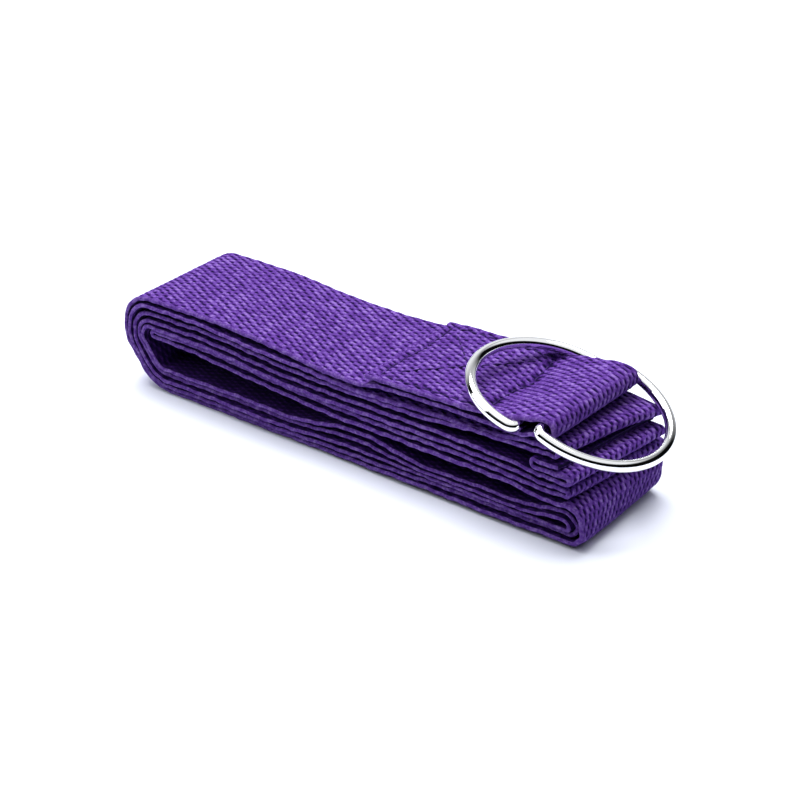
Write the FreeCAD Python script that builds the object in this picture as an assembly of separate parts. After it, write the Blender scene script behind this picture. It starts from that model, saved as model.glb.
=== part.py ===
import FreeCAD, Part
import math
import os

# A stretching strap: one long woven webbing, folded flat into a pack of twelve runs, with two
# D-rings held in a sewn loop at its outer end.  Millimetres.  +X runs along the pack towards the
# rings, +Z is up, and the origin is on the resting face, in the middle of the pack's length.
# The webbing is flat across its width, so its whole shape is one outline in the XZ plane, made
# from a centre line of straight runs joined by tangent arcs.

# Driving dimensions
WIDTH = 38.0            # webbing, across
THICK = 1.6             # webbing, through
LEAF = 1.65             # pitch of two runs that press on each other
PACK_LEFT = -83.5       # outside of the outer left-hand fold
PACK_RIGHT = 73.7       # outside of the outer right-hand fold
TOP_Z = 28.1            # centre line of the top run above the left-hand folds
WIRE_R = 1.55           # ring wire
BOW_R = 20.95           # ring bow, to the wire's centre
LEG = 3.0               # bar to the start of the bow
CORNER_R = 2.1          # ring corner, to the wire's centre
BAR_X = {"left": 53.1, "right": 60.2}
BAR_Z = {"left": 29.6, "right": 31.0}
TILT = {"left": 14.4, "right": -20.8}    # the bow's slope away from its bar, degrees
BAR_GAP = 0.1           # ring wire to the loop around it
HINGE_X = -10.0         # where the top run starts to lift with the rings
HINGE_Z = 25.8
HINGE_GAP = 0.2
GENTLE_R = 60.0         # long bends in the runs
EDGE_INSET = 2.5        # seams to the webbing's edge
CROSS_INSET = 3.0       # ends of the crossed rows to the seams around them
HEM_SEAM = 3.5          # from the hem's fold to its seam

HALF = THICK / 2
LEFT = PACK_LEFT + HALF
RIGHT = PACK_RIGHT - HALF
BOTTOM_Z = [HALF + LEAF * n for n in range(5)]         # the five runs that lie on the floor side
NEST = LEAF + 0.05                                     # pitch of the nested left-hand folds

# Left-hand folds: the radii of the outer one, and its straight flank down to the floor
FOLD_TOP_R = 10.2
FOLD_KNEE_R = 10.0
FOLD_FOOT_R = 12.0
FLANK_Z = 12.9          # where the flank meets the fold's steepest part
FLANK_RUN = 8.6
FLANK_FALL = 11.1

# The seven upper runs sag in the middle.  Heights are those of the second run's centre line, and
# each run below it lies its own drop lower, times the spread at the same place.
TOP_BEND_X = -28.0      # where the top run dips towards the hinge
TOP_BEND_Z = 26.8
TOP_LEVEL_X = -48.0
STATION_X = [-55.0, -30.0, -5.0, 25.0]
STATION_Z = [26.15, 24.5, 23.3, 24.2]
STATION_SPREAD = [1.0, 1.035, 1.067, 1.21]
DROP = {2: 0.0, 3: 2.45, 4: 4.65, 5: 6.4, 6: 8.1, 7: 9.75}
INNER_HAIRPIN_X = -72.8 # left-hand fold of the sixth and seventh run
# their bends on the way into the right-hand folds, the last one at the height of the fold
END_BENDS = {
    2: [(38.0, 24.2), (53.0, 24.8), (60.0, 25.9)],
    3: [(38.0, 22.4), (53.0, 23.1), (60.0, 24.2)],
    4: [(58.0, 18.2)],
    5: [(58.0, 15.6)],
    6: [(58.0, 13.9)],
    7: [(50.0, 12.3), (64.0, 11.3)],
}
END_BEND_R = 30.0
FOLD_A_TOP_Z = 12.2
# the second to fifth lower runs spread here into nested folds that fill the outer one
NEST_RISE_X = (54.0, 64.0)
NEST_TOP_Z = {3: 7.6, 4: 9.3}

# The upper three of the five lowest runs rise to a crest in the middle of the pack
CREST_X = 2.0
CREST_REACH = 22.0
CREST_RISE = {2: 1.1, 3: 2.3, 4: 3.6}

# Right-hand folds, at their centre lines
FOLD_A_R = (4.0, 3.5)   # outer fold, lower and upper corner
FOLD_D_X = 67.9         # second and third run
FOLD_C_X = 72.4         # fourth run and the tail
FOLD_B_X = 71.5         # fifth and sixth run

# Tail with its doubled hem, between the third and fourth run
TAIL_Z = 20.05
HEM_Z = 21.85
TAIL_X = 58.3
HEM_END_X = 69.0

# Ring end: the top run from the hinge to the loop, and the flap that comes back over it
TOP_RUN = [(0.0, 25.9), (14.0, 26.8), (30.0, 27.2), (45.0, 27.1)]
STEP_X = (54.5, 57.5)   # the lower leaf's step up between the two bars
HUMP_X = (50.0, 58.5)   # the flap slopes from the right bar's top down over the left bar
HUMP_Z = 31.4
STEP_R = 3.0
HUMP_R = 8.0
FLAP_CUT_X = 4.5
RING_SEAM_X = 41.5
FLAP_SEAM_X = 7.5
FLAP_FOOT = 2.0         # from the ring seam to where the flap starts to rise

STITCH_LONG = 2.4
STITCH_STEP = 3.0
THREAD_R = 0.25
THREAD_CLEAR = 0.02     # thread to the face that it lies on


def vec(x, z, y=0.0):
    return FreeCAD.Vector(x, y, z)


def meet(p, d, q, e):
    """Where the line through p along d crosses the line through q along e, in XZ."""
    cross = d.x * e.z - d.z * e.x
    t = ((q.x - p.x) * e.z - (q.z - p.z) * e.x) / cross
    return p + d * t


def rounded(points):
    """Straight runs and tangent arcs through corner points (x, z, radius)."""
    pieces = []
    start = vec(points[0][0], points[0][1])
    for before, corner, after in zip(points, points[1:], points[2:]):
        p = vec(corner[0], corner[1])
        incoming = (p - vec(before[0], before[1])).normalize()
        outgoing = (vec(after[0], after[1]) - p).normalize()
        cut = corner[2] * math.tan(incoming.getAngle(outgoing) / 2)
        bend_in, bend_out = p - incoming * cut, p + outgoing * cut
        toward = (outgoing - incoming).normalize()
        centre = p + toward * math.hypot(cut, corner[2])
        if (bend_in - start).Length > 1e-6:
            pieces.append(("run", start, bend_in))
        pieces.append(("arc", bend_in, centre + (p - centre).normalize() * corner[2], bend_out, centre))
        start = bend_out
    end = vec(points[-1][0], points[-1][1])
    pieces.append(("run", start, end))
    return pieces


def offset_edge(piece, distance):
    """The edge at a signed distance from one piece of the centre line, to its left."""
    if piece[0] == "run":
        along = (piece[2] - piece[1]).normalize()
        shift = vec(-along.z, along.x) * distance
        return Part.LineSegment(piece[1] + shift, piece[2] + shift).toShape()
    _, a, middle, b, centre = piece
    turns_left = (middle - a).cross(b - middle).y < 0
    radius = (a - centre).Length
    scale = (radius - distance if turns_left else radius + distance) / radius
    ends = [centre + (p - centre) * scale for p in (a, middle, b)]
    return Part.Arc(*ends).toShape()


def webbing(points):
    """A closed webbing solid along a centre line given by corner points."""
    path = rounded(points)
    left = [offset_edge(piece, HALF) for piece in path]
    right = [offset_edge(piece, -HALF) for piece in path]
    caps = []
    for k in (0, -1):
        a = left[k].Vertexes[k].Point
        b = right[k].Vertexes[k].Point
        caps.append(Part.LineSegment(a, b).toShape())
    outline = Part.Wire(Part.__sortEdges__(left + right + caps))
    face = Part.Face(outline)
    solid = face.extrude(FreeCAD.Vector(0, WIDTH, 0))
    solid.translate(FreeCAD.Vector(0, -WIDTH / 2, 0))
    length = sum(offset_edge(piece, 0.0).Length for piece in path)
    return solid, length


def run_z(layer, station):
    return STATION_Z[station] - DROP[layer] * STATION_SPREAD[station]


def upper_run(layer, rightward):
    """The bends of one of the upper runs two to seven, in the order in which they are met."""
    bends = [(x, run_z(layer, k), GENTLE_R) for k, x in enumerate(STATION_X)]
    bends += [(x, z, END_BEND_R) for x, z in END_BENDS[layer]]
    return bends if rightward else bends[::-1]


def left_fold(n, top_z):
    """Corners of nested left-hand fold n, from the upper run down to the lower one."""
    shrink = NEST * n
    slope = vec(FLANK_RUN, -FLANK_FALL).normalize()
    inward = vec(-slope.z, slope.x)
    edge = LEFT + shrink
    flank = vec(LEFT, FLANK_Z) + inward * shrink
    knee = meet(vec(edge, 0), vec(0, 1), flank, slope)
    foot = meet(flank, slope, vec(0, BOTTOM_Z[n]), vec(1, 0))
    return [
        (edge, top_z, FOLD_TOP_R - shrink),
        (knee.x, knee.z, FOLD_KNEE_R - shrink),
        (foot.x, foot.z, FOLD_FOOT_R - shrink),
    ]


def crest(n, rightward):
    """The bends where lower run n rises over the middle of the pack."""
    z = BOTTOM_Z[n]
    bends = [
        (CREST_X - CREST_REACH, z, GENTLE_R),
        (CREST_X, z + CREST_RISE[n], GENTLE_R),
        (CREST_X + CREST_REACH, z, GENTLE_R),
    ]
    return bends if rightward else bends[::-1]


def nest_rise(n, rightward):
    """The bends that lift a lower run into its nested fold."""
    bends = [(NEST_RISE_X[0], BOTTOM_Z[n], END_BEND_R), (NEST_RISE_X[1], NEST_TOP_Z[n], END_BEND_R)]
    return bends if rightward else bends[::-1]


def hairpin(x, z_from, z_to):
    radius = abs(z_to - z_from) / 2
    return [(x, z_from, radius), (x, z_to, radius)]


def pack_points():
    """Centre line of the folded webbing, from the hinge to the hem inside the pack."""
    left_z = {n: run_z(n + 1, 0) for n in range(1, 5)}
    left_z[0] = TOP_Z
    down = {n: left_fold(n, left_z[n]) for n in range(5)}
    up = {n: corners[::-1] for n, corners in down.items()}
    points = [(HINGE_X - HINGE_GAP / 2, HINGE_Z, 0)]
    points += [(TOP_BEND_X, TOP_BEND_Z, GENTLE_R), (TOP_LEVEL_X, TOP_Z, GENTLE_R)]
    points += down[0]
    points += [(RIGHT, BOTTOM_Z[0], FOLD_A_R[0]), (RIGHT, FOLD_A_TOP_Z, FOLD_A_R[1])]
    points += upper_run(7, False)
    points += hairpin(INNER_HAIRPIN_X, run_z(7, 0), run_z(6, 0))
    points += upper_run(6, True)
    points += hairpin(FOLD_B_X, END_BENDS[6][-1][1], END_BENDS[5][-1][1])
    points += upper_run(5, False)
    points += down[4]
    points += crest(4, True)
    nest_x = RIGHT - THICK - 0.2
    points += nest_rise(4, True) + hairpin(nest_x, NEST_TOP_Z[4], BOTTOM_Z[1])
    points += up[1]
    points += upper_run(2, True)
    points += hairpin(FOLD_D_X, END_BENDS[2][-1][1], END_BENDS[3][-1][1])
    points += upper_run(3, False)
    points += down[2]
    points += crest(2, True)
    points += hairpin(nest_x - NEST, BOTTOM_Z[2], NEST_TOP_Z[3]) + nest_rise(3, False)
    points += crest(3, False)
    points += up[3]
    points += upper_run(4, True)
    points += hairpin(FOLD_C_X, END_BENDS[4][-1][1], TAIL_Z)
    points += hairpin(TAIL_X, TAIL_Z, HEM_Z)
    points.append((HEM_END_X, HEM_Z, 0))
    return points


LOOP_R = WIRE_R + BAR_GAP + HALF


def top_run_z(x):
    """Height of the ring end's lower leaf, to its centre line, up to the left bar."""
    for (x0, z0), (x1, z1) in zip(TOP_RUN, TOP_RUN[1:]):
        if x <= x1:
            return z0 + (z1 - z0) * (x - x0) / (x1 - x0)
    return TOP_RUN[-1][1]


def flap_top(x):
    return top_run_z(x) + LEAF + HALF


def ring_end_points():
    """Centre line from the hinge, round both bars, and back along the sewn flap."""
    loop_low, loop_high = BAR_Z["right"] - LOOP_R, BAR_Z["right"] + LOOP_R
    foot_x = RING_SEAM_X + FLAP_FOOT
    points = [(HINGE_X + HINGE_GAP / 2, HINGE_Z, 0)]
    points += [(x, z, GENTLE_R) for x, z in TOP_RUN]
    points.append((STEP_X[0], BAR_Z["left"] - LOOP_R, STEP_R))
    points.append((STEP_X[1], loop_low, STEP_R))
    points += hairpin(BAR_X["right"] + LOOP_R, loop_low, loop_high)
    points.append((HUMP_X[1], loop_high, HUMP_R))
    points.append((HUMP_X[0], HUMP_Z, HUMP_R))
    points.append((foot_x, top_run_z(foot_x) + LEAF, HUMP_R))
    points += [(x, z + LEAF, GENTLE_R) for x, z in reversed(TOP_RUN[1:3])]
    points.append((FLAP_CUT_X, top_run_z(FLAP_CUT_X) + LEAF, 0))
    return points


def ring_path():
    """One D-ring's centre line, flat, with its bar on the Y axis and its bow towards +X."""
    s = BOW_R - CORNER_R
    c = CORNER_R * (1 - math.sqrt(0.5))
    corner_a = [vec(0, 0, s), vec(c, 0, BOW_R - c), vec(CORNER_R, 0, BOW_R)]
    corner_b = [FreeCAD.Vector(p.x, -p.y, p.z) for p in reversed(corner_a)]
    edges = [
        Part.LineSegment(vec(0, 0, -s), vec(0, 0, s)),
        Part.Arc(*corner_a),
        Part.LineSegment(corner_a[-1], vec(LEG, 0, BOW_R)),
        Part.Arc(vec(LEG, 0, BOW_R), vec(LEG + BOW_R, 0, 0), vec(LEG, 0, -BOW_R)),
        Part.LineSegment(vec(LEG, 0, -BOW_R), corner_b[0]),
        Part.Arc(*corner_b),
    ]
    return [edge.toShape() for edge in edges]


def ring_piece(edge):
    """Wire along one edge of the ring's centre line."""
    start = edge.Vertexes[0].Point
    tangent = edge.tangentAt(edge.FirstParameter)
    disc = Part.Face(Part.Wire(Part.makeCircle(WIRE_R, start, tangent)))
    if edge.Curve.TypeId == "Part::GeomLine":
        return disc.extrude(edge.Vertexes[-1].Point - start)
    sweep = math.degrees(edge.Length / edge.Curve.Radius)
    return disc.revolve(edge.Curve.Center, edge.Curve.Axis, sweep)


def d_ring(side):
    pieces = [ring_piece(edge) for edge in ring_path()]
    ring = pieces[0].multiFuse(pieces[1:]).removeSplitter()
    turn = -TILT[side] if side == "right" else TILT[side] + 180.0
    ring.rotate(FreeCAD.Vector(0, 0, 0), FreeCAD.Vector(0, 1, 0), turn)
    ring.translate(vec(BAR_X[side], BAR_Z[side]))
    return ring.Solids[0]


def stitch_row(start, end, height, above=True):
    """Separate stitches from start to end, each (x, y), lying on the face at height(x)."""
    lift = (THREAD_R + THREAD_CLEAR) * (1 if above else -1)
    dx, dy = end[0] - start[0], end[1] - start[1]
    span = math.hypot(dx, dy)
    count = int(span // STITCH_STEP)
    first = (span - (count - 1) * STITCH_STEP - STITCH_LONG) / 2
    stitches = []
    for n in range(count):
        ends = []
        for along in (first + n * STITCH_STEP, first + n * STITCH_STEP + STITCH_LONG):
            x, y = start[0] + dx * along / span, start[1] + dy * along / span
            ends.append(FreeCAD.Vector(x, y, height(x) + lift))
        axis = ends[1] - ends[0]
        stitches.append(Part.makeCylinder(THREAD_R, axis.Length, ends[0], axis))
    return stitches


def underside(x):
    return top_run_z(x) - HALF


def both_faces(start, end):
    return stitch_row(start, end, flap_top) + stitch_row(start, end, underside, above=False)


def save(name, shape):
    shape.exportStep("parts/" + name + ".step")
    box = shape.BoundBox
    print(f"{name}: {len(shape.Solids)} solids, {shape.Volume:.0f} mm3, valid {shape.isValid()},",
          f"x {box.XMin:.1f}..{box.XMax:.1f} y {box.YMin:.1f}..{box.YMax:.1f} z {box.ZMin:.1f}..{box.ZMax:.1f}")


os.makedirs("parts", exist_ok=True)

pack, pack_length = webbing(pack_points())
ring_end, ring_end_length = webbing(ring_end_points())
save("webbing_pack", pack)
save("webbing_ring_end", ring_end)
print(f"webbing length {pack_length + ring_end_length:.0f} mm")

for side in ("left", "right"):
    save("d_ring_" + side, d_ring(side))

reach = WIDTH / 2 - EDGE_INSET
hem_x = TAIL_X + HEM_SEAM
seams = {
    "ring_seam_stitches": both_faces((RING_SEAM_X, -reach), (RING_SEAM_X, reach)),
    "flap_seam_stitches": both_faces((FLAP_SEAM_X, -reach), (FLAP_SEAM_X, reach)),
    "side_seam_stitches": [],
    "cross_stitches": [],
}
for y in (-reach, reach):
    seams["side_seam_stitches"] += both_faces((FLAP_SEAM_X + 2, y), (RING_SEAM_X - 2, y))
    inner = y - math.copysign(CROSS_INSET, y)
    ends = (FLAP_SEAM_X + CROSS_INSET, -inner), (RING_SEAM_X - CROSS_INSET, inner)
    seams["cross_stitches"] += stitch_row(*ends, flap_top)
seams["hem_stitches"] = stitch_row((hem_x, -reach), (hem_x, reach), lambda x: HEM_Z + HALF)
for name, stitches in seams.items():
    save(name, Part.makeCompound(stitches))
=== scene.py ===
import math

import bpy
import numpy as np
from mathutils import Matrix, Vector


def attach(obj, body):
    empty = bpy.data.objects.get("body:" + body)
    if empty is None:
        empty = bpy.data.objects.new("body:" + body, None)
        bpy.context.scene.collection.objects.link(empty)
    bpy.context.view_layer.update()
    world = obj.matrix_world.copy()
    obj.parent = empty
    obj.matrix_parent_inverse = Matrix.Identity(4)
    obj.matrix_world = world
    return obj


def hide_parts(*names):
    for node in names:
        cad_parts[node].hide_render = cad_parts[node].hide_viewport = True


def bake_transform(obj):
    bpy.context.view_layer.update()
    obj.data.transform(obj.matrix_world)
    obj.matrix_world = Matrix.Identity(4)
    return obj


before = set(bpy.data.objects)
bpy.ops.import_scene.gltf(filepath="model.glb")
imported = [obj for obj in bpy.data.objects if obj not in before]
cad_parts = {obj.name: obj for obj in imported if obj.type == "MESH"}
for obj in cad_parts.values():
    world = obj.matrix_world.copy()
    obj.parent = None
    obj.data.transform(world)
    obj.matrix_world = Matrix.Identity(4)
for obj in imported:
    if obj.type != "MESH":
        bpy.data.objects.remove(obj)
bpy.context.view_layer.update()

# Stretching strap: violet plain-weave webbing folded flat into a pack, with two chrome D-rings in
# a sewn loop.  Shapes are worked out in millimetres in the frame's axes and scaled at the end.
MM = 0.001

# ---------------------------------------------------------------- driving dimensions
WIDTH = 38.0
THICK = 1.6
HALF = THICK / 2
LEAF = 1.65                                     # pitch of runs that press on each other
LEFT, RIGHT = -82.7, 72.9                       # centre lines of the outer folds
TOP_Z = 28.1
BOTTOM_Z = [HALF + LEAF * n for n in range(5)]
NEST = LEAF + 0.05
FOLD_TOP_R, FOLD_KNEE_R, FOLD_FOOT_R = 10.2, 10.0, 12.0
FLANK_Z, FLANK_RUN, FLANK_FALL = 12.9, 8.6, 11.1
STATION_X = [-55.0, -30.0, -5.0, 25.0]          # the upper runs sag between these
STATION_Z = [26.15, 24.5, 23.3, 24.2]
STATION_SPREAD = [1.0, 1.035, 1.067, 1.21]
DROP = {2: 0.0, 3: 2.45, 4: 4.65, 5: 6.4, 6: 8.1, 7: 9.75}
INNER_HAIRPIN_X = -72.8
CREST_X, CREST_REACH = 2.0, 22.0
CREST_RISE = {2: 1.1, 3: 2.3, 4: 3.6}
END_BENDS = {
    2: [(38.0, 24.2), (53.0, 24.8), (60.0, 25.9)],
    3: [(38.0, 22.4), (53.0, 23.1), (60.0, 24.2)],
    4: [(58.0, 18.2)],
    5: [(58.0, 15.6)],
    6: [(58.0, 13.9)],
    7: [(50.0, 12.3), (64.0, 11.3)],
}
END_BEND_R = 30.0
FOLD_A_TOP_Z = 12.2
NEST_RISE_X = (54.0, 64.0)
NEST_TOP_Z = {3: 7.6, 4: 9.3}
FOLD_A_R = (4.0, 3.5)
FOLD_D_X, FOLD_C_X, FOLD_B_X = 67.9, 72.4, 71.5
TAIL_Z, HEM_Z, TAIL_X, HEM_END_X = 20.05, 21.85, 58.3, 69.0
HINGE_X, HINGE_Z = -10.0, 25.8
TOP_RUN = [(0.0, 25.9), (14.0, 26.8), (30.0, 27.2), (45.0, 27.1)]
STEP_X, STEP_R = (54.5, 57.5), 3.0
HUMP_X, HUMP_Z, HUMP_R = (50.0, 58.5), 31.4, 8.0
FLAP_CUT_X, FLAP_SEAM_X, RING_SEAM_X, FLAP_FOOT = 4.5, 7.5, 41.5, 2.0
GENTLE_R = 60.0
WIRE_R, BOW_R, LEG, CORNER_R = 1.55, 20.95, 3.0, 2.1
BAR_X = {"left": 53.1, "right": 60.2}
BAR_Z = {"left": 29.6, "right": 31.0}
TILT = {"left": 14.4, "right": -20.8}
LOOP_R = WIRE_R + 0.1 + HALF
EDGE_INSET, CROSS_INSET = 2.5, 3.0
STITCH_LONG, STITCH_STEP, THREAD_R = 2.4, 3.0, 0.25

# Weave: cotton floats along the strap, in rows 1 mm apart, each row half a step from the next
ROW_PITCH = 1.0
PICK_PITCH = 2.15
FLOAT_LONG, FLOAT_WIDE = 1.5, 0.85              # half sizes of one float
PIT_LONG, PIT_WIDE = 0.84, 0.48                 # and of the dark pit between floats
FLOAT_SLANT = math.radians(-17.0)
RELIEF = 0.46
EDGE_R = 0.66                                   # rounded selvedge
ROPE, ROPE_PITCH = 0.05, 4.3                    # the weft's turns round the selvedge
# plain faces are coloured darker than the relief faces, as painted shade on these mostly hidden faces
NO_RELIEF = -1.0                                # marks a plain face, where the weave is only drawn
FINE_STEP, PLAIN_STEP, RING_END_STEP = 0.36, 0.8, 0.38

# Sewing: how deep and how wide its seams pull the flap down, and how much painted shade darkens the flap in
# their grooves
SEAM_DEPTH, SEAM_SHADE = 0.62, 0.9
RING_SEAM_WIDE, FLAP_SEAM_WIDE, SIDE_SEAM_WIDE = 1.3, 0.8, 0.7
PUCKER, PUCKER_WIDE = 0.30, 2.6

# Studio: the camera looks from the right, above the near side
AZIMUTH, ELEVATION, DISTANCE = math.radians(37.6), math.radians(27.8), 0.5747
TARGET = Vector((0.0014, 0.0005, 0.012))
LENS, SENSOR = 95.3, 36.0
FLOOR_SIZE, FLOOR_COLOR = 3.0, (0.78, 0.81, 0.90, 1.0)
KEY = ("key", (-0.26, 0.22, 1.1), 1.0, 22.6)    # name, place, size and power
FILL = ("fill", (-0.95, -0.6, 0.6), 0.7, 4.8)
TENT_COLOR, TENT_LIGHT, TENT_DARK = (0.96, 0.975, 1.0, 1.0), 0.92, 0.002
TENT_TOP, TENT_BACK, TENT_HEM = (0.60, 0.74), (-0.92, -0.50), (0.07, 0.15)


# ---------------------------------------------------------------- centre lines
def smoothstep(a, b, x):
    t = np.clip((x - a) / (b - a), 0.0, 1.0)
    return t * t * (3 - 2 * t)


def bell(x, middle, reach):
    return np.exp(-(((x - middle) / reach) ** 2))


def meet(p, d, q, e):
    """Where the line through p along d crosses the line through q along e."""
    cross = d[0] * e[1] - d[1] * e[0]
    return p + d * (((q[0] - p[0]) * e[1] - (q[1] - p[1]) * e[0]) / cross)


class Line:
    """A centre line of straight runs and tangent arcs through corners (x, z, radius), by length."""

    STEP = 0.05

    def __init__(self, corners):
        points, radii = [np.array(corners[0][:2], float)], [1e6]
        for before, corner, after in zip(corners, corners[1:], corners[2:]):
            p = np.array(corner[:2], float)
            a, b = p - before[:2], np.array(after[:2]) - p
            a, b = a / np.linalg.norm(a), b / np.linalg.norm(b)
            turn = math.acos(np.clip(a @ b, -1, 1))
            cut = corner[2] * math.tan(turn / 2)
            centre = p + (b - a) / np.linalg.norm(b - a) * math.hypot(cut, corner[2])
            arm = p - a * cut - centre
            sign = 1.0 if a[0] * b[1] - a[1] * b[0] > 0 else -1.0
            count = max(2, int(turn * corner[2] / self.STEP))
            self._run(points, radii, p - a * cut)
            for k in range(1, count + 1):
                c, s = math.cos(sign * turn * k / count), math.sin(sign * turn * k / count)
                points.append(centre + np.array((c * arm[0] - s * arm[1], s * arm[0] + c * arm[1])))
                radii.append(corner[2])
        self._run(points, radii, np.array(corners[-1][:2], float))
        self.points, self.radii = np.array(points), np.array(radii)
        gaps = np.linalg.norm(np.diff(self.points, axis=0), axis=1)
        self.s = np.concatenate([[0.0], np.cumsum(gaps)])
        self.length = self.s[-1]
        tangent = np.gradient(self.points, self.s, axis=0)
        self.tangent = tangent / np.linalg.norm(tangent, axis=1)[:, None]
        normal = np.column_stack([-self.tangent[:, 1], self.tangent[:, 0]])
        self.face_length = {}
        for side in (1, -1):
            face = self.points + normal * HALF * side
            steps = np.linalg.norm(np.diff(face, axis=0), axis=1)
            self.face_length[side] = np.concatenate([[0.0], np.cumsum(steps)])

    def _run(self, points, radii, end):
        start = points[-1]
        count = max(1, int(np.linalg.norm(end - start) / self.STEP))
        for k in range(1, count + 1):
            if np.linalg.norm(end - start) > 1e-6:
                points.append(start + (end - start) * k / count)
                radii.append(1e6)

    def at(self, s):
        """x, z and the unit left-hand normal at lengths s."""
        x, z = (np.interp(s, self.s, self.points[:, k]) for k in (0, 1))
        tx, tz = (np.interp(s, self.s, self.tangent[:, k]) for k in (0, 1))
        size = np.hypot(tx, tz)
        return x, z, -tz / size, tx / size

    def along_face(self, s, side):
        """Length along one face of the webbing, which is longer than the centre line on a fold."""
        return np.interp(s, self.s, self.face_length[side])

    def stations(self, start, end, step):
        """Lengths from start to end, step(x, z) apart and closer in tight folds."""
        out, s = [start], start
        while s < end:
            x, z = (float(np.interp(s, self.s, self.points[:, k])) for k in (0, 1))
            ahead = np.interp(s + 0.1, self.s, self.radii)
            s += min(step(x, z), 0.13 * (ahead + 0.5))
            out.append(min(s, end))
        if len(out) > 2 and out[-1] - out[-2] < 0.05:
            del out[-2]
        return np.array(out)

    def find(self, x, start, end):
        """The length between start and end where the line is at x."""
        inside = (self.s >= start) & (self.s <= end)
        return float(self.s[inside][np.abs(self.points[inside, 0] - x).argmin()])


def run_z(layer, station):
    return STATION_Z[station] - DROP[layer] * STATION_SPREAD[station]


def upper_run(layer, rightward):
    bends = [(x, run_z(layer, k), GENTLE_R) for k, x in enumerate(STATION_X)]
    bends += [(x, z, END_BEND_R) for x, z in END_BENDS[layer]]
    return bends if rightward else bends[::-1]


def left_fold(n):
    shrink = NEST * n
    slope = np.array((FLANK_RUN, -FLANK_FALL)) / math.hypot(FLANK_RUN, FLANK_FALL)
    edge = LEFT + shrink
    flank = np.array((LEFT, FLANK_Z)) + np.array((-slope[1], slope[0])) * shrink
    knee = meet(np.array((edge, 0.0)), np.array((0.0, 1.0)), flank, slope)
    foot = meet(flank, slope, np.array((0.0, BOTTOM_Z[n])), np.array((1.0, 0.0)))
    top = TOP_Z if n == 0 else run_z(n + 1, 0)
    return [(edge, top, FOLD_TOP_R - shrink), (*knee, FOLD_KNEE_R - shrink), (*foot, FOLD_FOOT_R - shrink)]


def crest(n, rightward):
    z = BOTTOM_Z[n]
    bends = [(CREST_X - CREST_REACH, z, GENTLE_R), (CREST_X, z + CREST_RISE[n], GENTLE_R),
             (CREST_X + CREST_REACH, z, GENTLE_R)]
    return bends if rightward else bends[::-1]


def nest_rise(n, rightward):
    bends = [(NEST_RISE_X[0], BOTTOM_Z[n], END_BEND_R), (NEST_RISE_X[1], NEST_TOP_Z[n], END_BEND_R)]
    return bends if rightward else bends[::-1]


def hairpin(x, z_from, z_to):
    radius = abs(z_to - z_from) / 2
    return [(x, z_from, radius), (x, z_to, radius)]


def pack_line():
    """The folded webbing from the hinge to the hem inside the pack."""
    c = [(HINGE_X, HINGE_Z, 0), (-28.0, 26.8, GENTLE_R), (-48.0, TOP_Z, GENTLE_R)] + left_fold(0)
    c += [(RIGHT, BOTTOM_Z[0], FOLD_A_R[0]), (RIGHT, FOLD_A_TOP_Z, FOLD_A_R[1])]
    c += upper_run(7, False) + hairpin(INNER_HAIRPIN_X, run_z(7, 0), run_z(6, 0))
    c += upper_run(6, True) + hairpin(FOLD_B_X, END_BENDS[6][-1][1], END_BENDS[5][-1][1])
    c += upper_run(5, False) + left_fold(4) + crest(4, True)
    nest_x = RIGHT - THICK - 0.2
    c += nest_rise(4, True) + hairpin(nest_x, NEST_TOP_Z[4], BOTTOM_Z[1]) + left_fold(1)[::-1]
    c += upper_run(2, True) + hairpin(FOLD_D_X, END_BENDS[2][-1][1], END_BENDS[3][-1][1])
    c += upper_run(3, False) + left_fold(2) + crest(2, True)
    c += hairpin(nest_x - NEST, BOTTOM_Z[2], NEST_TOP_Z[3]) + nest_rise(3, False)
    c += crest(3, False) + left_fold(3)[::-1]
    c += upper_run(4, True) + hairpin(FOLD_C_X, END_BENDS[4][-1][1], TAIL_Z)
    c += hairpin(TAIL_X, TAIL_Z, HEM_Z)
    c.append((HEM_END_X, HEM_Z, 0))
    return Line(c)


def top_run_z(x):
    return float(np.interp(x, [p[0] for p in TOP_RUN], [p[1] for p in TOP_RUN]))


def ring_end_line():
    """From the hinge, round both bars, and back along the sewn flap."""
    low, high = BAR_Z["right"] - LOOP_R, BAR_Z["right"] + LOOP_R
    foot_x = RING_SEAM_X + FLAP_FOOT
    c = [(HINGE_X, HINGE_Z, 0)] + [(x, z, GENTLE_R) for x, z in TOP_RUN]
    c += [(STEP_X[0], BAR_Z["left"] - LOOP_R, STEP_R), (STEP_X[1], low, STEP_R)]
    c += hairpin(BAR_X["right"] + LOOP_R, low, high)
    c += [(HUMP_X[1], high, HUMP_R), (HUMP_X[0], HUMP_Z, HUMP_R), (foot_x, top_run_z(foot_x) + LEAF, HUMP_R)]
    c += [(x, z + LEAF, GENTLE_R) for x, z in reversed(TOP_RUN[1:3])]
    c.append((FLAP_CUT_X, top_run_z(FLAP_CUT_X) + LEAF, 0))
    return Line(c)


# ---------------------------------------------------------------- how the soft webbing really lies
def drift(s):
    """Each run wanders across the width, as it was folded by hand."""
    return 0.50 * np.sin(s / 61.0 + 0.4) + 0.30 * np.sin(s / 23.0 + 2.1) + 0.12 * np.sin(s / 6.1)


# how far the flap's near and far edges stand off its centre, along the flap
FLAP_X = [2.0, 5.0, 10.0, 20.0, 28.0, 36.0, 43.0, 46.5, 50.0, 54.0, 58.0, 62.0]
FLAP_NEAR = [0.2, 0.4, 0.2, 0.0, 0.1, 0.3, 1.2, 0.4, -0.6, -0.7, -0.8, -0.6]
FLAP_FAR = [0.9, 1.0, 1.1, 1.1, 1.3, 1.6, 1.8, 1.5, 0.9, 0.4, 0.1, 0.0]
# and the near edges of the runs below, by height; the second run's hangs down onto the third
NEAR_LIFT_Z = [8.0, 12.4, 14.4, 16.4, 18.5]
NEAR_LIFT = [0.0, 0.5, 0.7, 0.8, 0.8]
SECOND_RUN, SECOND_HANG = (1045.0, 1055.0, 1140.0, 1150.0), 0.75


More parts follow.
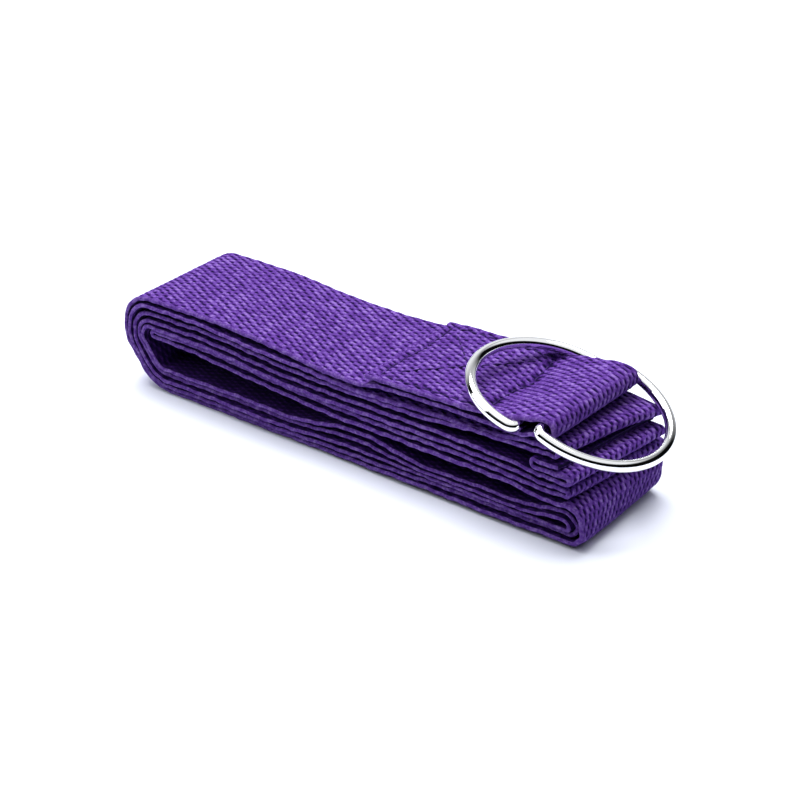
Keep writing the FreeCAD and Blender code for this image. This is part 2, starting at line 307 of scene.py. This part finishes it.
def settle(x, y, z, s, in_ring_end):
    """The pack's sag, roll and skewed ends, all small beside the CAD shape."""
    near = -y / (WIDTH / 2)
    toward = np.clip(near, 0.0, None) ** 2
    height = np.clip(z / 28.0, 0.0, 1.15)
    top = np.where(in_ring_end, 1.0, 1.0 - smoothstep(30.0, 70.0, s))
    pack = np.where(in_ring_end, 0.0, 1.0)
    # the top run hangs lower on the near side, and levels out at the bars and the left fold
    upper = smoothstep(76.0, 82.0, s) * (1.0 - pack)
    away = np.clip(-near, 0.0, None)
    sloping = smoothstep(-35.0, 4.0, x) * (1.0 - smoothstep(42.0, 52.0, x)) * top * (1.0 - upper)
    dz = sloping * (1.1 * away - (1.0 - smoothstep(2.0, 10.0, x)) * np.clip(near, 0.0, None))
    flap = np.interp(x, FLAP_X, FLAP_NEAR) * toward ** 2 + np.interp(x, FLAP_X, FLAP_FAR) * away ** 2
    dz = dz + upper * flap
    middle = smoothstep(-25.0, 10.0, x) * (1.0 - smoothstep(50.0, 62.0, x))
    second = smoothstep(*SECOND_RUN[:2], s) * (1.0 - smoothstep(*SECOND_RUN[2:], s)) * pack
    lift = np.interp(z, NEAR_LIFT_Z, NEAR_LIFT)
    dz = dz + (lift - second * (lift + SECOND_HANG)) * toward * middle * (1.0 - top)
    wave = np.sin(x / 13.0 + 0.6) * np.sin(y / 11.0 + 0.9 + x / 60.0)
    dz = dz + 0.22 * wave * height * (1.0 - smoothstep(36.0, 48.0, x))
    # the lowest run curls up a little along its near edge
    low = 1.0 - smoothstep(3.0, 8.0, z)
    dz = dz + 0.95 * low * toward * smoothstep(-45.0, 25.0, x)
    spread = 0.3 * smoothstep(0.0, 19.0, y) * (1.0 - smoothstep(28.0, 38.0, x))
    dy = drift(s) * smoothstep(0.0, 40.0, s) * pack + spread * top
    # the right-hand folds are skewed: their near ends stop short and their far ends reach out
    fold = smoothstep(56.0, 70.0, x) * pack
    past_a = smoothstep(330.0, 380.0, s)
    is_b = past_a * smoothstep(12.0, 13.0, z)
    is_c = smoothstep(16.5, 17.3, z)
    is_d = smoothstep(22.7, 23.4, z)
    skew = (-near) * 1.1 * (z - 6.5) / 6.0
    skew = skew + is_b * (-0.8 - 2.3 * near - skew)
    skew = skew + is_c * (-1.05 - 2.3 * near - skew)
    skew = skew + is_d * (0.15 - 3.95 * near - skew)
    # the far corner of fold D tucks under the right ring
    dz = dz - (near * 0.2 + 1.95 * away ** 2) * fold * is_d
    slack = smoothstep(BAR_X["right"] - 0.5, BAR_X["right"] + 2.5, x) * (1.0 - pack)
    dx = skew * fold + slack * (1.3 - 0.3 * near)
    return x + dx, y + dy + 0.45 * second * middle, z + dz


# ---------------------------------------------------------------- woven relief
def chance(i, j, seed):
    """A repeatable number from 0 to 1 for each float."""
    return np.modf(np.abs(np.sin(i * 12.9898 + j * 78.233 + seed) * 43758.5453))[0]


def weave(u, v):
    """Height of the face, from 0 in the pits between the slanted cotton floats to 1 on their crests."""
    u = u + 0.22 * np.sin(v / 1.9 + u / 9.0)
    v = v + 0.06 * np.sin(u / 7.3) + 0.10 * np.sin(u / 2.3 + 2.0 * np.sin(v / 3.7))
    c, s = math.cos(FLOAT_SLANT), math.sin(FLOAT_SLANT)
    column, row = np.round(u / PICK_PITCH), np.round(v / ROW_PITCH)
    crest, pit = np.zeros(u.shape), np.zeros(u.shape)
    for di in (-1, 0, 1):
        for dj in (-1, 0, 1):
            i, j = column + di, row + dj
            du = u - (i + 0.18 * (chance(i, j, 1.0) - 0.5)) * PICK_PITCH
            dv = v - (j + 0.34 * (chance(i, j, 2.0) - 0.5)) * ROW_PITCH
            along, across = du * c + dv * s, dv * c - du * s
            size = 0.85 + 0.3 * chance(i, j, 3.0)
            strength = 0.58 + 0.42 * chance(i, j, 4.0)
            is_float = np.mod(i + j, 2) < 0.5
            h = 1.0 - (along / (FLOAT_LONG * size)) ** 2 - (across / FLOAT_WIDE) ** 2
            crest = np.maximum(crest, np.where(is_float, np.sqrt(np.clip(h, 0.0, 1.0)) * strength, 0.0))
            d = 1.0 - (along / (PIT_LONG * size)) ** 2 - (across / (PIT_WIDE * size)) ** 2
            pit = np.maximum(pit, np.where(is_float, 0.0, np.clip(d, 0.0, 1.0) * strength))
    return np.clip(0.5 + 0.5 * crest - 0.9 * pit, 0.0, 1.0)


def groove(x, y):
    """How far the sewing pulls the flap down along its seams."""
    reach = WIDTH / 2 - EDGE_INSET
    inside = np.where((x > FLAP_CUT_X) & (x < RING_SEAM_X + 3) & (np.abs(y) < reach + 1), 1.0, 0.0)
    wobble = seam_wobble(y)
    cross = bell(x, RING_SEAM_X + wobble, RING_SEAM_WIDE)
    cross = cross + 0.7 * bell(x, FLAP_SEAM_X + wobble * 0.5, FLAP_SEAM_WIDE)
    side = 0.5 * bell(np.abs(y), reach, SIDE_SEAM_WIDE) * smoothstep(FLAP_SEAM_X, FLAP_SEAM_X + 2, x)
    pucker = PUCKER * np.sin(y * 2.1 + 0.7 * np.sin(y / 2.3)) * bell(x, RING_SEAM_X + wobble, PUCKER_WIDE)
    return inside * (SEAM_DEPTH * (cross + side) + 0.5 * np.clip(pucker, 0.0, None))


def seam_wobble(y):
    return 0.75 * np.sin(y / 3.4 + 0.5) + 0.3 * np.sin(y / 1.5)


# ---------------------------------------------------------------- webbing mesh
FINE, COARSE = 168, 8
EDGE_POINTS = 5
EDGE_UV = 100.0                                 # UVs past this are on the selvedge


class Mesh:
    def __init__(self):
        self.verts, self.faces, self.uvs, self.heights = [], [], [], []

    def add(self, corners, uv):
        self.faces.append(corners)
        self.uvs.extend(uv)

    def bridge(self, a, b, uv_a, uv_b):
        """Faces between two rows of vertices, one of which may be a multiple finer."""
        if len(a) == len(b):
            for k in range(len(a) - 1):
                self.add((a[k], a[k + 1], b[k + 1], b[k]), (uv_a[k], uv_a[k + 1], uv_b[k + 1], uv_b[k]))
            return
        fine_first = len(a) > len(b)
        fine, coarse = (a, b) if fine_first else (b, a)
        uf, uc = (uv_a, uv_b) if fine_first else (uv_b, uv_a)
        ratio = (len(fine) - 1) // (len(coarse) - 1)
        for k in range(len(coarse) - 1):
            span = range(k * ratio, (k + 1) * ratio + 1)
            loop = [fine[i] for i in span] + [coarse[k + 1], coarse[k]]
            uv = [uf[i] for i in span] + [uc[k + 1], uc[k]]
            if not fine_first:
                loop, uv = loop[::-1], uv[::-1]
            self.add(tuple(loop), tuple(uv))

    def build(self, name, material):
        mesh = bpy.data.meshes.new(name)
        mesh.from_pydata(self.verts, [], self.faces)
        mesh.uv_layers.new(name="weave").data.foreach_set("uv", np.array(self.uvs, np.float32).ravel())
        relief = mesh.attributes.new("relief", "FLOAT", "POINT")
        relief.data.foreach_set("value", np.array(self.heights, np.float32))
        return finish_piece(name, mesh, material)


def finish_piece(name, mesh, material):
    mesh.polygons.foreach_set("use_smooth", np.ones(len(mesh.polygons), bool))
    mesh.materials.append(material)
    mesh.update()
    obj = bpy.data.objects.new(name, mesh)
    bpy.context.scene.collection.objects.link(obj)
    return obj


def ribbon(name, line, stations, shows, material, in_ring_end, sense):
    """Woven webbing along a centre line.

    shows(x, z) says which of the left and right faces carry the relief, the others being plain.
    sense is 1 or -1, the direction of the fabric's own length along the line.
    """
    mesh = Mesh()
    flat = WIDTH / 2 - EDGE_R
    cx, cz, nx, nz = line.at(stations)
    lengths = {side: line.along_face(stations, side) for side in (1, -1)}
    angles = np.pi * np.arange(1, EDGE_POINTS + 1) / (EDGE_POINTS + 1)
    rows = []
    for k, (s, x, z, ax, az) in enumerate(zip(stations, cx, cz, nx, nz)):
        visible = shows(x, z)
        offs, ys, heights, sectors = [], [], [], []
        base = len(mesh.verts)
        for side in (1, -1):
            fine = visible[0 if side > 0 else 1]
            y = np.linspace(-flat, flat, (FINE if fine else COARSE) + 1) * side
            u, v = lengths[side][k] * sense, y * side * sense
            taper = smoothstep(flat - 2.2, flat, np.abs(y))
            body = HALF - (HALF - EDGE_R) * taper
            if fine:
                h = weave(np.full(len(y), u), v)
                h = h + (0.75 - h) * smoothstep(flat - 0.5, flat, np.abs(y))
                off = body - RELIEF * (1.0 - h) * smoothstep(0.0, 0.6, flat + 0.1 - np.abs(y))
                if in_ring_end and z > 27.0:
                    # the seams' grooves are sunk, and their colour is darkened with the depth as painted
                    # shade, broken up along the seam
                    dip = groove(x, y)
                    broken = 0.5 + 0.5 * np.sin(y * 1.15 + 1.5 * np.sin(y / 2.7))
                    off, h = off - dip, h - SEAM_SHADE * dip * broken
            else:
                h, off = np.full(len(y), NO_RELIEF), body - 0.15
                off[0], off[-1] = EDGE_R, EDGE_R
            start = base + len(ys)
            ys, offs, heights = ys + list(y), offs + list(off * side), heights + list(h)
            sectors.append((list(range(start, start + len(y))), [(u, w) for w in v]))
            rope = np.cos(2 * np.pi * u / ROPE_PITCH + 1.1 * angles + side)
            reach = EDGE_R + ROPE * rope
            start = base + len(ys)
            ys = ys + list((flat + reach * np.sin(angles)) * side)
            offs = offs + list(reach * np.cos(angles) * side)
            # the selvedge is coloured near the crests' light level, a painted highlight along each edge,
            # lighter still on the rope's turns
            heights = heights + list(0.84 + 0.05 * rope)
            span = list(range(start - 1, start + EDGE_POINTS + 1))
            sectors.append((span, [(u, EDGE_UV * side + n) for n in range(len(span))]))
        sectors[3][0][-1] = base
        ys, offs = np.array(ys), np.array(offs)
        offs = offs + selvedge_wave(s, ys) * (0.35 if in_ring_end or s < 75.0 else 0.8)
        px, py, pz = settle(x + ax * offs, ys, z + az * offs, s, in_ring_end)
        mesh.verts += list(zip(px * MM, py * MM, pz * MM))
        mesh.heights += heights
        if rows:
            for (a, uv_a), (b, uv_b) in zip(rows, sectors):
                mesh.bridge(a, b, uv_a, uv_b)
        else:
            close_end(mesh, sectors, True)
        rows = sectors
    close_end(mesh, rows, False)
    return mesh.build(name, material)


def selvedge_wave(s, y):
    """The slightly wavy lie of each edge, off the centre line."""
    side = np.sign(y)
    wave = 0.13 * np.sin(s / 1.9 + side) + 0.09 * np.sin(s / 0.83 + 2.0 * side) + 0.10 * np.sin(s / 7.1)
    return wave * smoothstep(15.5, 19.0, np.abs(y))


def close_end(mesh, sectors, first):
    (left, uv_left), (edge_a, uv_a), (right, uv_right), (edge_b, uv_b) = sectors
    right, uv_right = right[::-1], uv_right[::-1]
    if first:
        mesh.bridge(left, right, uv_left, uv_right)
    else:
        mesh.bridge(right, left, uv_right, uv_left)
    for ids, uv in ((edge_a, uv_a), (edge_b, uv_b)):
        mesh.add(tuple(ids[::-1] if first else ids), tuple(uv[::-1] if first else uv))


# ---------------------------------------------------------------- materials
class Nodes:
    """A short hand for building a material's node tree."""

    def __init__(self, name):
        self.material = bpy.data.materials.new(name)
        self.material.use_nodes = True
        self.tree = self.material.node_tree
        self.shader = self.tree.nodes["Principled BSDF"]

    def put(self, socket, value):
        if isinstance(value, bpy.types.NodeSocket):
            self.tree.links.new(value, socket)
        else:
            socket.default_value = value

    def node(self, kind, **inputs):
        made = self.tree.nodes.new(kind)
        for key, value in inputs.items():
            self.put(made.inputs[key.replace("_", " ")], value)
        return made

    def math(self, operation, *values):
        made = self.tree.nodes.new("ShaderNodeMath")
        made.operation = operation
        for socket, value in zip(made.inputs, values):
            self.put(socket, value)
        return made.outputs[0]

    def blend(self, factor, a, b):
        """a where factor is 0, b where it is 1."""
        made = self.tree.nodes.new("ShaderNodeMix")
        for socket, value in zip((made.inputs[0], made.inputs[2], made.inputs[3]), (factor, a, b)):
            self.put(socket, value)
        return made.outputs[0]

    def mix(self, factor, a, b):
        made = self.tree.nodes.new("ShaderNodeMix")
        made.data_type = "RGBA"
        for socket, value in zip((made.inputs[0], made.inputs[6], made.inputs[7]), (factor, a, b)):
            self.put(socket, value)
        return made.outputs[2]

    def noise(self, vector, scale, detail=2.0):
        return self.node("ShaderNodeTexNoise", Vector=vector, Scale=scale, Detail=detail).outputs[0]

    def ramp(self, level, stops):
        made = self.node("ShaderNodeValToRGB", Fac=level)
        elements = made.color_ramp.elements
        while len(elements) < len(stops):
            elements.new(0.5)
        for element, (position, color) in zip(elements, stops):
            element.position, element.color = position, color
        return made.outputs[0]


# The weave's colours by level: painted shade in and around the pits, then the yarn's own violet, then
# painted highlights on the floats' crests and, brightest, on their tops
PIT_SHADE = (0.0045, 0.0006, 0.026, 1.0)
SHADE = (0.020, 0.004, 0.074, 1.0)
BODY = (0.058, 0.0155, 0.168, 1.0)
LIT_CREST = (0.118, 0.050, 0.290, 1.0)
CREST_HIGHLIGHT = (0.215, 0.125, 0.410, 1.0)


def webbing_material():
    n = Nodes("webbing_cotton")
    uv = n.tree.nodes.new("ShaderNodeUVMap")
    uv.uv_map = "weave"
    split = n.node("ShaderNodeSeparateXYZ", Vector=uv.outputs[0])
    u, v = split.outputs[0], split.outputs[1]
    attribute = n.tree.nodes.new("ShaderNodeAttribute")
    attribute.attribute_name = "relief"
    relief = attribute.outputs["Fac"]
    position = n.node("ShaderNodeNewGeometry").outputs["Position"]
    # plain faces have no relief, and there the weave is drawn from the fabric's own coordinates, with
    # painted shade and highlight for its pits and crests, and at a lower level than the relief faces:
    # painted shade on these mostly hidden faces
    rows = n.math("COSINE", n.math("MULTIPLY", v, math.pi / ROW_PITCH))
    picks = n.math("COSINE", n.math("MULTIPLY", n.math("ADD", u, n.math("MULTIPLY", v, 0.3)),
                                    math.pi / PICK_PITCH))
    drawn = n.math("ADD", n.math("MULTIPLY", n.math("MULTIPLY", rows, picks), 0.22), 0.26)
    height = n.blend(n.math("GREATER_THAN", relief, -0.5), drawn, relief)
    # fibres lie along the floats, so their noise is drawn out that way
    slanted = n.math("ADD", v, n.math("MULTIPLY", u, 0.3))
    grain = n.node("ShaderNodeCombineXYZ", X=n.math("MULTIPLY", u, 0.9), Y=n.math("MULTIPLY", slanted, 3.0))
    fibre = n.noise(grain.outputs[0], 1.6, 3.0)
    yarn = n.noise(position, 1300.0, 2.0)
    patch = n.noise(position, 150.0, 3.0)
    level = n.math("ADD", height, n.math("MULTIPLY", n.math("SUBTRACT", yarn, 0.5), 0.75))
    level = n.math("ADD", level, n.math("MULTIPLY", n.math("SUBTRACT", fibre, 0.5), 0.45))
    level = n.math("ADD", level, n.math("MULTIPLY", n.math("SUBTRACT", patch, 0.5), 0.30))
    # the relief's height paints shade into the pits and highlights onto the crests and their tops; the
    # noises add the yarn's random tone
    stops = [(0.10, PIT_SHADE), (0.34, SHADE), (0.58, BODY), (0.84, LIT_CREST), (1.0, CREST_HIGHLIGHT)]
    n.put(n.shader.inputs["Base Color"], n.ramp(level, stops))
    # the yarn's own twist, finer than the floats
    twist = n.math("SINE", n.math("ADD", n.math("MULTIPLY", u, 9.0), n.math("MULTIPLY", v, 17.0)))
    yarns = n.math("ADD", fibre, n.math("MULTIPLY", yarn, 0.8))
    bumps = n.math("ADD", n.math("MULTIPLY", twist, 0.18), yarns)
    bumps = n.math("ADD", bumps, n.math("MULTIPLY", height, 0.3))
    bump = n.node("ShaderNodeBump", Strength=0.8, Distance=0.00016, Height=bumps)
    n.put(n.shader.inputs["Normal"], bump.outputs[0])
    n.put(n.shader.inputs["Roughness"], n.math("ADD", n.math("MULTIPLY", fibre, 0.2), 0.75))
    n.shader.inputs["Sheen Weight"].default_value = 0.04
    n.shader.inputs["Sheen Roughness"].default_value = 0.5
    n.shader.inputs["Sheen Tint"].default_value = (0.55, 0.40, 0.95, 1.0)
    n.shader.inputs["Specular IOR Level"].default_value = 0.06
    return n.material


def thread_material():
    n = Nodes("sewing_thread")
    position = n.node("ShaderNodeNewGeometry").outputs["Position"]
    twist = n.noise(position, 3000.0, 2.0)
    n.put(n.shader.inputs["Base Color"], n.mix(twist, (0.008, 0.002, 0.04, 1), (0.050, 0.016, 0.15, 1)))
    bump = n.node("ShaderNodeBump", Strength=0.5, Distance=0.00005, Height=twist)
    n.put(n.shader.inputs["Normal"], bump.outputs[0])
    n.shader.inputs["Roughness"].default_value = 0.7
    n.shader.inputs["Specular IOR Level"].default_value = 0.15
    return n.material


def chrome_material():
    n = Nodes("chrome_wire")
    position = n.node("ShaderNodeNewGeometry").outputs["Position"]
    haze = n.noise(position, 220.0, 4.0)
    fine = n.noise(position, 2600.0, 2.0)
    n.put(n.shader.inputs["Base Color"], n.mix(haze, (0.93, 0.935, 0.94, 1), (0.98, 0.98, 0.98, 1)))
    n.shader.inputs["Metallic"].default_value = 1.0
    n.put(n.shader.inputs["Roughness"], n.math("ADD", n.math("MULTIPLY", haze, 0.06), 0.015))
    bump = n.node("ShaderNodeBump", Strength=0.10, Distance=0.00004, Height=fine)
    n.put(n.shader.inputs["Normal"], bump.outputs[0])
    return n.material


# ---------------------------------------------------------------- rings
def ring_points(count=400):
    """A D-ring's centre line in its own plane, evenly spaced, bar on the Y axis, bow towards +X."""
    half = Line([(0.0, 0.0, 0), (0.0, BOW_R, CORNER_R), (LEG, BOW_R, 0)])
    arc = [(LEG + BOW_R * math.cos(a), BOW_R * math.sin(a)) for a in np.linspace(math.pi / 2, 0, 400)[1:]]
    quarter = np.vstack([half.points, arc])
    whole = np.vstack([quarter, quarter[-2::-1] * (1, -1)])
    gaps = np.concatenate([[0], np.cumsum(np.linalg.norm(np.diff(whole, axis=0), axis=1))])
    at = np.linspace(0, gaps[-1], count, endpoint=False)
    return np.column_stack([np.interp(at, gaps, whole[:, k]) for k in (0, 1)])


def d_ring(side, material):
    """Bent wire with a butt joint in the middle of its bar, where the loop covers it."""
    points = ring_points()
    count, around = len(points), 28
    ahead, behind = np.roll(points, -1, axis=0), np.roll(points, 1, axis=0)
    tangent = (ahead - behind) / np.linalg.norm(ahead - behind, axis=1)[:, None]
    sign = 1.0 if side == "right" else -1.0
    tilt = math.radians(TILT[side])
    verts, faces = [], []
    for k, (p, t) in enumerate(zip(points, tangent)):
        joint = min(k, count - k)
        radius = WIRE_R * (1 - 0.06 * math.exp(-(joint / 0.8) ** 2))
        for m in range(around):
            a = 2 * math.pi * m / around
            reach, up = p[0] + t[1] * radius * math.cos(a), radius * math.sin(a)
            x = sign * (reach * math.cos(tilt) - up * math.sin(tilt))
            z = reach * math.sin(tilt) + up * math.cos(tilt)
            y = p[1] - t[0] * radius * math.cos(a)
            verts.append(((x + BAR_X[side]) * MM, y * MM, (z + BAR_Z[side]) * MM))
    for k in range(count):
        for m in range(around):
            a, b = k * around + m, k * around + (m + 1) % around
            c, d = ((k + 1) % count) * around + (m + 1) % around, ((k + 1) % count) * around + m
            faces.append((a, b, c, d) if side == "right" else (d, c, b, a))
    mesh = bpy.data.meshes.new("ring_wire_" + side)
    mesh.from_pydata(verts, [], faces)
    return finish_piece("ring_wire_" + side, mesh, material)


# ---------------------------------------------------------------- sewing
def stitches(name, faces_and_ends, material):
    """Arched thread stitches, dipping into the webbing at both ends.

    Each is (place, up, start, end), where place(x, y) is on the face and up is 1 or -1.
    """
    verts, faces = [], []
    along, around = 9, 8
    for place, up, (x0, y0), (x1, y1) in faces_and_ends:
        normal = Vector((0, 0, up))
        heading = Vector((x1 - x0, y1 - y0, 0)).normalized()
        across = Vector((-heading.y, heading.x, 0))
        base = len(verts)
        for k in range(along):
            t = k / (along - 1)
            arch = math.sqrt(max(0.0, 1 - (2 * t - 1) ** 2))
            foot = Vector(place(x0 + (x1 - x0) * t, y0 + (y1 - y0) * t))
            middle = foot + normal * (0.22 * arch - 0.14)
            radius = THREAD_R * (0.55 + 0.45 * arch)
            for m in range(around):
                a = 2 * math.pi * m / around
                spoke = across * radius * math.cos(a) + normal * radius * math.sin(a)
                verts.append(tuple((middle + spoke) * MM))
        for k in range(along - 1):
            for m in range(around):
                a, b = base + k * around + m, base + k * around + (m + 1) % around
                faces.append((a, a + around, b + around, b))
        faces.append(tuple(base + m for m in range(around)))
        faces.append(tuple(base + (along - 1) * around + m for m in reversed(range(around))))
    mesh = bpy.data.meshes.new(name)
    mesh.from_pydata(verts, [], faces)
    return finish_piece(name, mesh, material)


def row(start, end, wobble=None):
    """The ends of the stitches in one row."""
    span = math.dist(start, end)
    count = int(span // STITCH_STEP)
    first = (span - (count - 1) * STITCH_STEP - STITCH_LONG) / 2
    out = []
    for k in range(count):
        pair = []
        for along in (first + k * STITCH_STEP, first + k * STITCH_STEP + STITCH_LONG):
            x, y = (a + (b - a) * along / span for a, b in zip(start, end))
            pair.append((x + (wobble(y) if wobble else 0.0), y))
        out.append(pair)
    return out


# ---------------------------------------------------------------- camera, light and floor
def studio():
    scene = bpy.context.scene
    aside, along = math.sin(AZIMUTH), -math.cos(AZIMUTH)
    back = Vector((aside * math.cos(ELEVATION), along * math.cos(ELEVATION), math.sin(ELEVATION)))
    camera = bpy.data.cameras.new("camera")
    camera.lens, camera.sensor_width, camera.clip_start = LENS, SENSOR, 0.01
    eye = bpy.data.objects.new("camera", camera)
    scene.collection.objects.link(eye)
    eye.location = TARGET + back * DISTANCE
    eye.rotation_euler = (-back).to_track_quat("-Z", "Y").to_euler()
    scene.camera = eye
    scene.view_settings.view_transform = "Standard"

    size = FLOOR_SIZE
    mesh = bpy.data.meshes.new("floor")
    corners = [(-size, -size, 0), (size, -size, 0), (size, size, 0), (-size, size, 0)]
    mesh.from_pydata(corners, [], [(0, 1, 2, 3)])
    floor = bpy.data.objects.new("floor", mesh)
    scene.collection.objects.link(floor)
    n = Nodes("floor_paper")
    n.shader.inputs["Base Color"].default_value = FLOOR_COLOR
    n.shader.inputs["Roughness"].default_value = 0.9
    n.shader.inputs["Specular IOR Level"].default_value = 0.1
    mesh.materials.append(n.material)

    for name, place, size, power in (KEY, FILL):
        light = bpy.data.lights.new(name, "AREA")
        light.size, light.energy = size, power
        lamp = bpy.data.objects.new(name, light)
        lamp.location = place
        lamp.rotation_euler = (-Vector(place)).to_track_quat("-Z", "Y").to_euler()
        scene.collection.objects.link(lamp)

    # a white tent that is open, and so dark, low down all round but at the back
    world = bpy.data.worlds.new("studio")
    world.use_nodes = True
    tree = world.node_tree
    direction = tree.nodes.new("ShaderNodeTexCoord").outputs["Generated"]
    split = tree.nodes.new("ShaderNodeSeparateXYZ")
    tree.links.new(direction, split.inputs[0])
    toward = tree.nodes.new("ShaderNodeVectorMath")
    toward.operation = "DOT_PRODUCT"
    toward.inputs[1].default_value = (aside, along, 0.0)
    tree.links.new(direction, toward.inputs[0])

    def ramp(value, low, high):
        made = tree.nodes.new("ShaderNodeMapRange")
        made.interpolation_type = "SMOOTHSTEP"
        made.inputs["From Min"].default_value, made.inputs["From Max"].default_value = low, high
        tree.links.new(value, made.inputs["Value"])
        return made.outputs["Result"]

    def combine(operation, a, b):
        made = tree.nodes.new("ShaderNodeMath")
        made.operation = operation
        for socket, value in zip(made.inputs, (a, b)):
            if isinstance(value, bpy.types.NodeSocket):
                tree.links.new(value, socket)
            else:
                socket.default_value = value
        return made.outputs[0]

    high = ramp(split.outputs[2], *TENT_TOP)
    behind = combine("SUBTRACT", 1.0, ramp(toward.outputs["Value"], *TENT_BACK))
    # its back stops short of the table, which leaves a thin dark line
    behind = combine("MULTIPLY", behind, ramp(split.outputs[2], *TENT_HEM))
    light = combine("MAXIMUM", high, behind)
    strength = combine("ADD", combine("MULTIPLY", light, TENT_LIGHT), TENT_DARK)
    background = tree.nodes["Background"]
    background.inputs[0].default_value = TENT_COLOR
    tree.links.new(strength, background.inputs[1])
    scene.world = world


# ---------------------------------------------------------------- build
studio()
cotton, thread, chrome = webbing_material(), thread_material(), chrome_material()

pack = pack_line()
floor_split = pack.find(0.0, 100.0, 220.0)          # in the middle of the lowest run
hollow_split = pack.find(30.0, 280.0, 360.0)        # in the seventh run, above the hollow
second_start = pack.find(-30.0, 1030.0, 1100.0)     # the second run and fold D, under the ring end
second_end = pack.find(40.0, 1160.0, 1220.0)


def outer_step(x, z):
    return FINE_STEP if z > 2.5 or x < -66.0 or x > 68.0 else PLAIN_STEP


def outer_shows(x, z):
    hidden = (z < 1.2 and -66.0 < x < 70.0) or (x < 68.0 and 9.0 < z < 17.5 and x > -70)
    return (False, not hidden)


def inner_shows(x, z):
    return (False, x > 66.0 and 12.8 < z < 22.0)


def inner_step(x, z):
    return FINE_STEP if x > 64.0 and z > 12.8 else PLAIN_STEP


def second_shows(x, z):
    return (x > -16.0, False)


def second_step(x, z):
    return FINE_STEP if x > -16.0 else PLAIN_STEP


spans = (("webbing_top_run", 0.0, floor_split, outer_step, outer_shows),
         ("webbing_right_fold", floor_split, hollow_split, outer_step, outer_shows),
         ("webbing_inner_runs", hollow_split, second_start, inner_step, inner_shows),
         ("webbing_second_run", second_start, second_end, second_step, second_shows),
         ("webbing_tail_runs", second_end, pack.length, inner_step, inner_shows))
for name, start, end, step, shows in spans:
    piece = ribbon(name, pack, pack.stations(start, end, step), shows, cotton, False, -1)
    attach(piece, "folded_pack")
    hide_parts("webbing_pack")

ring_line = ring_end_line()


def ring_end_step(x, z):
    return RING_END_STEP


def ring_end_shows(x, z):
    return (x < 9.0 and z < 27.2, True)


ring_stations = ring_line.stations(0.0, ring_line.length, ring_end_step)
ring_end = ribbon("webbing_ring_end_sewn", ring_line, ring_stations, ring_end_shows, cotton, True, 1)
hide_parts("webbing_ring_end")
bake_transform(ring_end)

for side in ("left", "right"):
    wire = d_ring(side, chrome)
    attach(wire, side + "_ring")
    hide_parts("d_ring_" + side)

flap_start = ring_line.find(RING_SEAM_X + 5.0, ring_line.length - 60.0, ring_line.length)
flap_end = ring_line.length


def flap_face(x, y):
    """The flap's upper face, in its seams' grooves."""
    s = ring_line.find(x, flap_start, flap_end)
    cx, cz, nx, nz = ring_line.at(s)
    drop = HALF - 0.12 - float(groove(x, y))
    px, py, pz = settle(cx - nx * drop, y, cz - nz * drop, s, True)
    return float(px), float(py), float(pz)


def underside(x, y):
    s = ring_line.find(x, 0.0, 60.0)
    cx, cz, nx, nz = ring_line.at(s)
    depth = HALF - 0.1
    px, py, pz = settle(cx - nx * depth, y, cz - nz * depth, s, True)
    return float(px), float(py), float(pz)


reach = WIDTH / 2 - EDGE_INSET
rows = {
    "ring_seam": row((RING_SEAM_X, -reach), (RING_SEAM_X, reach), seam_wobble),
    "flap_seam": row((FLAP_SEAM_X, -reach), (FLAP_SEAM_X, reach), lambda y: 0.5 * seam_wobble(y)),
    "side_seam": [],
    "cross": [],
}
for side in (-1, 1):
    y, corner = side * reach, side * (reach - CROSS_INSET)
    rows["side_seam"] += row((FLAP_SEAM_X + 2, y), (RING_SEAM_X - 2, y))
    rows["cross"] += row((FLAP_SEAM_X + CROSS_INSET, corner), (RING_SEAM_X - CROSS_INSET, -corner))
for name, ends in rows.items():
    sewn = [(flap_face, 1, *pair) for pair in ends]
    if name != "cross":
        sewn += [(underside, -1, *pair) for pair in ends]
    piece = stitches("thread_" + name, sewn, thread)
    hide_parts(name + "_stitches")
    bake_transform(piece)

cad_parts["hem_stitches"].data.materials.clear()
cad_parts["hem_stitches"].data.materials.append(thread)
